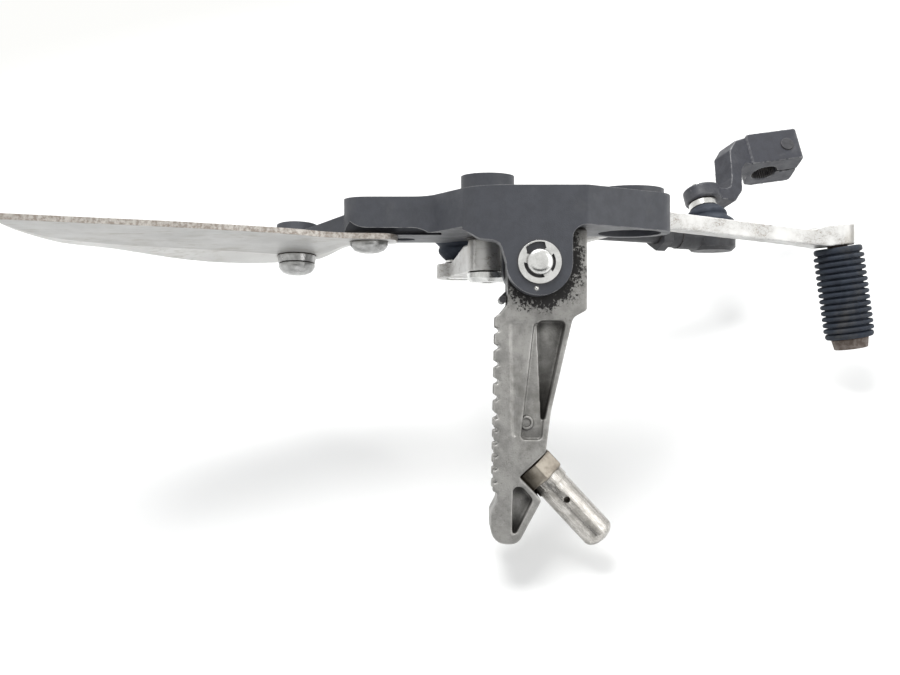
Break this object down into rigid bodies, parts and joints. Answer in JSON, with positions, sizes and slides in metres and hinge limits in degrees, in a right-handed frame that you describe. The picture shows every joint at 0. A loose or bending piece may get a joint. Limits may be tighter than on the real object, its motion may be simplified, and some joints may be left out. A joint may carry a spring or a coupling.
{
  "type": "rear sets footrest",
  "caption": "Rider rear set for the gear side: hanger with folding serrated peg, gear lever with rubber toe peg, shift linkage and heel guard.",
  "frame": {"origin": "centre of the lower frame bolt's hole, on the inner face of its boss", "axes": "+Z points inboard along the frame bolts, -X points up the bike along the hanger and +Y points forward"},
  "size_m": [0.3193, 0.1992, 0.1722],
  "materials": {
    "hanger": "satin dark grey, worn on its edges",
    "bare_sheet": "bare, brushed and scuffed",
    "cast_peg": "cast, dull and grimy",
    "feeler_metal": "dull, scraped",
    "bare_lever": "bare forged, scuffed",
    "bright_steel": "bright plated steel",
    "pin_steel": "plated steel, dull",
    "spring_steel": "dark spring wire",
    "rusty_steel": "rusty steel",
    "bush": "plain bearing bronze",
    "seal": "black",
    "rubber": "dull blue-black",
    "black_rod": "satin black",
    "black_case": "satin black",
    "clamp_arm": "dark grey coat, worn",
    "dull_nut": "dull, darkened",
    "zinc": "bright zinc"
  },
  "bodies": {
    "hanger": {"hanger_bracket": "hanger", "heel_guard": "bare_sheet", "heel_guard_screws": "bright_steel", "footpeg_pin": "pin_steel", "pin_clip": "bright_steel", "lever_pivot_bolt": "bright_steel", "lever_washer": "seal"},
    "footrest": {"footpeg": "cast_peg", "footpeg_spring": "spring_steel", "peg_feeler": "feeler_metal"},
    "lever": {"gear_lever": "bare_lever", "lever_bushes": "bush", "toe_pin": "rusty_steel", "toe_rubber": "rubber", "ball_stud_rear": "zinc", "boot_rear": "rubber", "stud_nut_rear": "zinc"},
    "link": {"link_rod": "black_rod", "rod_end_rear": "black_case", "rod_end_front": "black_case", "rod_lock_nuts": "dull_nut", "boot_front": "rubber"},
    "shifter": {"shift_arm": "clamp_arm", "ball_stud_front": "zinc", "pinch_bolt": "dull_nut"}
  },
  "joints": [
    {"name": "peg_fold", "type": "hinge", "parent": "hanger", "child": "footrest", "pos_m": [-0.0337, -0.01, -0.0277], "axis": [0, 1, 0], "range_deg": [0, 80], "stiffness_Nm_per_rad": 0.15, "springref_deg": -34.38, "deforming": ["footpeg_spring"]},
    {"name": "lever_pivot", "type": "hinge", "parent": "hanger", "child": "lever", "pos_m": [-0.0493, 0.015, -0.022], "axis": [0, 0, 1], "range_deg": [-10, 10]},
    {"name": "rear_ball", "type": "hinge", "parent": "lever", "child": "link", "pos_m": [-0.0587, 0.047, -0.0054], "axis": [0, 0, 1], "range_deg": [-10, 25]},
    {"name": "front_ball", "type": "hinge", "parent": "link", "child": "shifter", "pos_m": [0.05305, 0.10692, -0.0054], "axis": [-0.1616, 0.3014, 0.9397], "range_deg": [-35, 35]}
  ]
}
